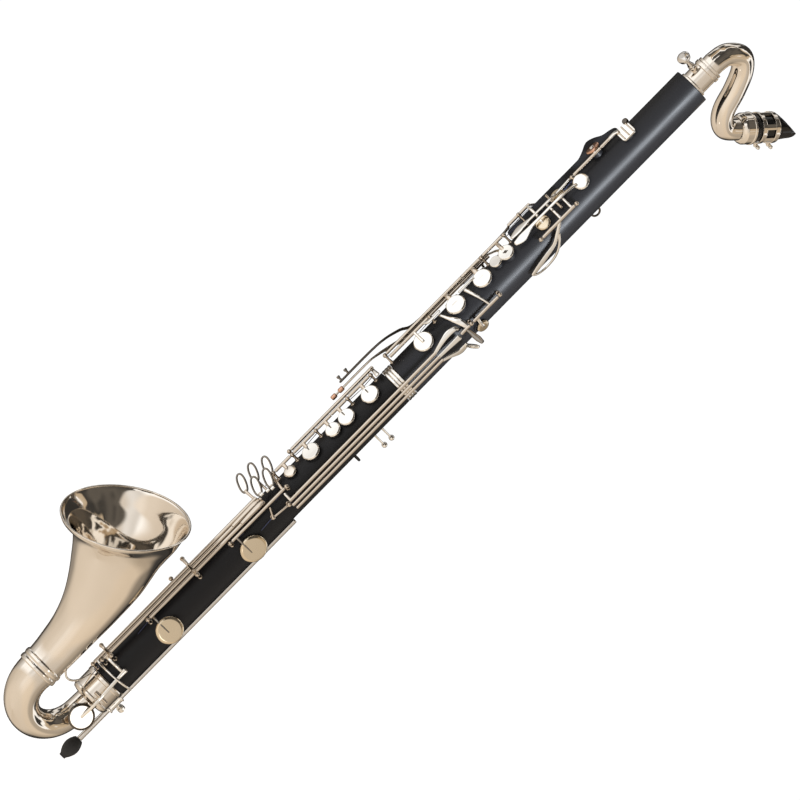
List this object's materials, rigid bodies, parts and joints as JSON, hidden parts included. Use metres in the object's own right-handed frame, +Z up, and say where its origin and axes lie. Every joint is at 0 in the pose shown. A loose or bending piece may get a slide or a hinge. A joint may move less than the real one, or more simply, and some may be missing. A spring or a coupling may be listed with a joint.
{
  "type": "bass clarinet",
  "caption": "Long dark-bodied bass clarinet with a curved metal neck, an upturned flared metal bell, plated keywork and a sliding floor peg.",
  "frame": {"origin": "on the bore axis, at the seam between the upper and the lower body joint", "axes": "+Z up the bore towards the neck, +X to the player's left, +Y towards the player, so the bell opens towards -Y"},
  "size_m": [0.1274, 0.3216, 0.9766],
  "materials": {
    "body_resin": "satin black with a fine brushed grain",
    "ebonite": "polished black",
    "nickel_shell": "polished warm nickel plate",
    "key_plate": "polished plate",
    "steel_rod": "polished rod",
    "cork": "sanded cork",
    "cane": "cut cane",
    "rubber": "matt black"
  },
  "bodies": {
    "body": {"upper_joint": "body_resin", "lower_joint": "body_resin", "middle_ring": "key_plate", "tenon_cork": "cork", "neck_receiver": "nickel_shell", "bell_ferrule": "nickel_shell", "bell_bow": "nickel_shell", "bow_ring": "nickel_shell", "bell": "nickel_shell", "bell_brace": "key_plate", "peg_socket": "key_plate", "thumb_rest": "key_plate", "strap_ring": "key_plate"},
    "neck": {"neck_tube": "nickel_shell", "mouthpiece_socket": "nickel_shell"},
    "mouthpiece": {"mouthpiece": "ebonite", "mouthpiece_cork": "cork", "reed": "cane", "ligature": "key_plate"},
    "ligature_screw_1": {"ligature_screw_1": "key_plate"},
    "ligature_screw_2": {"ligature_screw_2": "key_plate"},
    "neck_screw": {"neck_screw": "key_plate"},
    "floor_peg": {"floor_peg": "steel_rod", "peg_tip": "rubber"},
    "peg_screw": {"peg_screw": "key_plate"},
    "register_lever": {"register_lever": "key_plate"},
    "upper_vent_key": {"upper_vent_key": "key_plate"},
    "lower_vent_key": {"lower_vent_key": "key_plate"},
    "throat_a_key": {"throat_a_key": "key_plate"},
    "throat_gsharp_key": {"throat_gsharp_key": "key_plate"},
    "half_hole_key": {"half_hole_key": "key_plate"},
    "lh_plateau_2": {"lh_plateau_2": "key_plate"},
    "lh_plateau_3": {"lh_plateau_3": "key_plate"},
    "csharp_lever": {"csharp_lever": "key_plate"},
    "csharp_key": {"csharp_key": "key_plate"},
    "lh_cross_key": {"lh_cross_key": "key_plate"},
    "side_key_1": {"side_key_1": "key_plate"},
    "side_key_2": {"side_key_2": "key_plate"},
    "side_key_3": {"side_key_3": "key_plate"},
    "side_key_4": {"side_key_4": "key_plate"},
    "rh_plateau_1": {"rh_plateau_1": "key_plate"},
    "rh_plateau_2": {"rh_plateau_2": "key_plate"},
    "rh_vent_key": {"rh_vent_key": "key_plate"},
    "rh_plateau_3": {"rh_plateau_3": "key_plate"},
    "rh_sliver_key": {"rh_sliver_key": "key_plate"},
    "bridge_key": {"bridge_key": "key_plate"},
    "low_gsharp_key": {"low_gsharp_key": "key_plate"},
    "rh_touch_1": {"rh_touch_1": "key_plate"},
    "low_fsharp_key": {"low_fsharp_key": "key_plate"},
    "rh_touch_2": {"rh_touch_2": "key_plate"},
    "low_e_key": {"low_e_key": "key_plate"},
    "bow_key": {"bow_key": "key_plate"},
    "low_eb_key": {"low_eb_key": "key_plate"},
    "rh_touch_3": {"rh_touch_3": "key_plate"},
    "lh_pinky_1": {"lh_pinky_1": "key_plate"},
    "lh_pinky_2": {"lh_pinky_2": "key_plate"},
    "lh_pinky_3": {"lh_pinky_3": "key_plate"}
  },
  "joints": [
    {"name": "register_lever_hinge", "type": "hinge", "parent": "body", "child": "register_lever", "pos_m": [0.02006, -0.01807, 0.22], "axis": [0, 0, 1], "range_deg": [0, 3], "stiffness_Nm_per_rad": 0.05, "springref_deg": -17.19},
    {"name": "upper_vent_key_hinge", "type": "hinge", "parent": "body", "child": "upper_vent_key", "pos_m": [-0.00317, -0.02581, 0.312], "axis": [0, 0, 1], "range_deg": [-9, 0], "stiffness_Nm_per_rad": 0.05, "springref_deg": 17.19},
    {"name": "lower_vent_key_hinge", "type": "hinge", "parent": "body", "child": "lower_vent_key", "pos_m": [-0.00317, -0.02581, 0.282], "axis": [0, 0, 1], "range_deg": [0, 9], "stiffness_Nm_per_rad": 0.05, "springref_deg": -17.19},
    {"name": "throat_a_key_hinge", "type": "hinge", "parent": "body", "child": "throat_a_key", "pos_m": [0.00676, -0.02635, 0.233], "axis": [0.9686, 0.2487, 0], "range_deg": [0, 4], "stiffness_Nm_per_rad": 0.05, "springref_deg": -17.19},
    {"name": "throat_gsharp_key_hinge", "type": "hinge", "parent": "body", "child": "throat_gsharp_key", "pos_m": [-0.00162, -0.02655, 0.231], "axis": [0.9981, -0.061, 0], "range_deg": [0, 4], "stiffness_Nm_per_rad": 0.05, "springref_deg": -17.19},
    {"name": "half_hole_key_hinge", "type": "hinge", "parent": "body", "child": "half_hole_key", "pos_m": [-0.015, -0.02598, 0.16], "axis": [0, 0, 1], "range_deg": [0, 5.4], "stiffness_Nm_per_rad": 0.05, "springref_deg": -17.19},
    {"name": "lh_plateau_2_hinge", "type": "hinge", "parent": "body", "child": "lh_plateau_2", "pos_m": [-0.015, -0.02598, 0.128], "axis": [0, 0, 1], "range_deg": [0, 5.4], "stiffness_Nm_per_rad": 0.05, "springref_deg": -17.19},
    {"name": "lh_plateau_3_hinge", "type": "hinge", "parent": "body", "child": "lh_plateau_3", "pos_m": [-0.015, -0.02598, 0.06], "axis": [0, 0, 1], "range_deg": [0, 5.4], "stiffness_Nm_per_rad": 0.05, "springref_deg": -17.19},
    {"name": "csharp_lever_hinge", "type": "hinge", "parent": "body", "child": "csharp_lever", "pos_m": [0.02503, -0.01011, 0.082], "axis": [0, 0, 1], "range_deg": [0, 6], "stiffness_Nm_per_rad": 0.05, "springref_deg": -17.19},
    {"name": "csharp_key_hinge", "type": "hinge", "parent": "body", "child": "csharp_key", "pos_m": [-0.00677, -0.02717, 0.04], "axis": [0, 0, 1], "range_deg": [-7.2, 0], "stiffness_Nm_per_rad": 0.05, "springref_deg": 17.19},
    {"name": "lh_cross_key_hinge", "type": "hinge", "parent": "body", "child": "lh_cross_key", "pos_m": [0.02503, -0.01011, 0.11], "axis": [0, 0, 1], "range_deg": [-8, 0], "stiffness_Nm_per_rad": 0.05, "springref_deg": 17.19},
    {"name": "side_key_1_hinge", "type": "hinge", "parent": "body", "child": "side_key_1", "pos_m": [-0.02126, -0.02445, 0.199], "axis": [0, 0, 1], "range_deg": [-4, 0], "stiffness_Nm_per_rad": 0.05, "springref_deg": 17.19},
    {"name": "side_key_2_hinge", "type": "hinge", "parent": "body", "child": "side_key_2", "pos_m": [-0.02518, -0.02039, 0.199], "axis": [0, 0, 1], "range_deg": [0, 6], "stiffness_Nm_per_rad": 0.05, "springref_deg": -17.19},
    {"name": "side_key_3_hinge", "type": "hinge", "parent": "body", "child": "side_key_3", "pos_m": [-0.02695, -0.012, 0.13], "axis": [0, 0, 1], "range_deg": [0, 6], "stiffness_Nm_per_rad": 0.05, "springref_deg": -17.19},
    {"name": "side_key_4_hinge", "type": "hinge", "parent": "body", "child": "side_key_4", "pos_m": [-0.02862, -0.00714, 0.13], "axis": [0, 0, 1], "range_deg": [0, 6], "stiffness_Nm_per_rad": 0.05, "springref_deg": -17.19},
    {"name": "rh_plateau_1_hinge", "type": "hinge", "parent": "body", "child": "rh_plateau_1", "pos_m": [-0.00881, -0.02711, -0.0284], "axis": [0, 0, 1], "range_deg": [0, 5.4], "stiffness_Nm_per_rad": 0.05, "springref_deg": -17.19},
    {"name": "rh_plateau_2_hinge", "type": "hinge", "parent": "body", "child": "rh_plateau_2", "pos_m": [-0.00881, -0.02711, -0.0603], "axis": [0, 0, 1], "range_deg": [0, 5.4], "stiffness_Nm_per_rad": 0.05, "springref_deg": -17.19},
    {"name": "rh_vent_key_hinge", "type": "hinge", "parent": "body", "child": "rh_vent_key", "pos_m": [-0.00881, -0.02711, -0.0784], "axis": [0, 0, 1], "range_deg": [0, 5.4], "stiffness_Nm_per_rad": 0.05, "springref_deg": -17.19},
    {"name": "rh_plateau_3_hinge", "type": "hinge", "parent": "body", "child": "rh_plateau_3", "pos_m": [-0.00881, -0.02711, -0.1088], "axis": [0, 0, 1], "range_deg": [0, 5.4], "stiffness_Nm_per_rad": 0.05, "springref_deg": -17.19},
    {"name": "rh_sliver_key_hinge", "type": "hinge", "parent": "body", "child": "rh_sliver_key", "pos_m": [-0.00881, -0.02711, -0.137], "axis": [0, 0, 1], "range_deg": [-8, 0], "stiffness_Nm_per_rad": 0.05, "springref_deg": 17.19},
    {"name": "bridge_key_hinge", "type": "hinge", "parent": "body", "child": "bridge_key", "pos_m": [-0.01678, -0.02487, -0.06], "axis": [0, 0, 1], "range_deg": [0, 4], "stiffness_Nm_per_rad": 0.05, "springref_deg": -17.19},
    {"name": "low_gsharp_key_hinge", "type": "hinge", "parent": "body", "child": "low_gsharp_key", "pos_m": [0.01442, -0.024, -0.1889], "axis": [0, 0, 1], "range_deg": [-4.5, 0], "stiffness_Nm_per_rad": 0.05, "springref_deg": 17.19},
    {"name": "rh_touch_1_hinge", "type": "hinge", "parent": "body", "child": "rh_touch_1", "pos_m": [0.00716, -0.02872, -0.1604], "axis": [0, 0, 1], "range_deg": [-3.9, 0], "stiffness_Nm_per_rad": 0.05, "springref_deg": 17.19},
    {"name": "low_fsharp_key_hinge", "type": "hinge", "parent": "body", "child": "low_fsharp_key", "pos_m": [0.00958, -0.02631, -0.255], "axis": [0, 0, 1], "range_deg": [0, 3.9], "stiffness_Nm_per_rad": 0.05, "springref_deg": -17.19},
    {"name": "rh_touch_2_hinge", "type": "hinge", "parent": "body", "child": "rh_touch_2", "pos_m": [0.00514, -0.02915, -0.1654], "axis": [0, 0, 1], "range_deg": [-4.5, 0], "stiffness_Nm_per_rad": 0.05, "springref_deg": 17.19},
    {"name": "low_e_key_hinge", "type": "hinge", "parent": "body", "child": "low_e_key", "pos_m": [0.00462, -0.02762, -0.28475], "axis": [0, 0, 1], "range_deg": [-4.5, 0], "stiffness_Nm_per_rad": 0.05, "springref_deg": 17.19},
    {"name": "bow_key_hinge", "type": "hinge", "parent": "body", "child": "bow_key", "pos_m": [0.02247, -0.01001, -0.424], "axis": [0.4067, 0.9135, 0], "range_deg": [0, 2.7], "stiffness_Nm_per_rad": 0.05, "springref_deg": -17.19},
    {"name": "low_eb_key_hinge", "type": "hinge", "parent": "body", "child": "low_eb_key", "pos_m": [-0.00049, -0.028, -0.29125], "axis": [0, 0, 1], "range_deg": [-4, 0], "stiffness_Nm_per_rad": 0.05, "springref_deg": 17.19},
    {"name": "rh_touch_3_hinge", "type": "hinge", "parent": "body", "child": "rh_touch_3", "pos_m": [0.00309, -0.02944, -0.1724], "axis": [0, 0, 1], "range_deg": [-4, 0], "stiffness_Nm_per_rad": 0.05, "springref_deg": 17.19},
    {"name": "lh_pinky_1_hinge", "type": "hinge", "parent": "body", "child": "lh_pinky_1", "pos_m": [0.02264, -0.01471, -0.06], "axis": [0, 0, 1], "range_deg": [-4, 0], "stiffness_Nm_per_rad": 0.05, "springref_deg": 17.19},
    {"name": "lh_pinky_2_hinge", "type": "hinge", "parent": "body", "child": "lh_pinky_2", "pos_m": [0.02503, -0.01011, -0.06], "axis": [0, 0, 1], "range_deg": [-3, 3], "stiffness_Nm_per_rad": 0.05, "springref_deg": -17.19},
    {"name": "lh_pinky_3_hinge", "type": "hinge", "parent": "body", "child": "lh_pinky_3", "pos_m": [0.0265, -0.00515, -0.06], "axis": [0, 0, 1], "range_deg": [0, 4], "stiffness_Nm_per_rad": 0.05, "springref_deg": -17.19},
    {"name": "neck_swivel", "type": "hinge", "parent": "body", "child": "neck", "pos_m": [0, 0, 0.42], "axis": [0, 0, 1], "range_deg": [-60, 60]},
    {"name": "mouthpiece_slide", "type": "slide", "parent": "neck", "child": "mouthpiece", "axis": [0, 0.7716, 0.6361], "range_m": [0, 0.006]},
    {"name": "ligature_screw_1_turn", "type": "hinge", "parent": "mouthpiece", "child": "ligature_screw_1", "pos_m": [-0.0095, 0.11553, 0.41574], "axis": [1, 0, 0], "continuous": true},
    {"name": "ligature_screw_2_turn", "type": "hinge", "parent": "mouthpiece", "child": "ligature_screw_2", "pos_m": [-0.0095, 0.12672, 0.42496], "axis": [1, 0, 0], "continuous": true},
    {"name": "neck_screw_turn", "type": "hinge", "parent": "body", "child": "neck_screw", "pos_m": [0, -0.012, 0.421], "axis": [0, -1, 0], "continuous": true},
    {"name": "peg_screw_turn", "type": "hinge", "parent": "body", "child": "peg_screw", "pos_m": [0, 0.0326, -0.4205], "axis": [0, 1, 0], "continuous": true},
    {"name": "peg_slide", "type": "slide", "parent": "body", "child": "floor_peg", "axis": [0, 0, -1], "range_m": [0, 0.2]}
  ],
  "couplings": [
    {"joint": "upper_vent_key_hinge", "follows": "register_lever_hinge", "ratio": -3},
    {"joint": "lower_vent_key_hinge", "follows": "register_lever_hinge", "ratio": 3},
    {"joint": "csharp_key_hinge", "follows": "csharp_lever_hinge", "ratio": -1.2},
    {"joint": "rh_vent_key_hinge", "follows": "rh_plateau_1_hinge", "ratio": 1},
    {"joint": "bridge_key_hinge", "follows": "rh_plateau_1_hinge", "ratio": 0.7},
    {"joint": "low_fsharp_key_hinge", "follows": "rh_touch_1_hinge", "ratio": -1},
    {"joint": "low_e_key_hinge", "follows": "rh_touch_2_hinge", "ratio": 1},
    {"joint": "bow_key_hinge", "follows": "rh_touch_2_hinge", "ratio": -0.6}
  ]
}
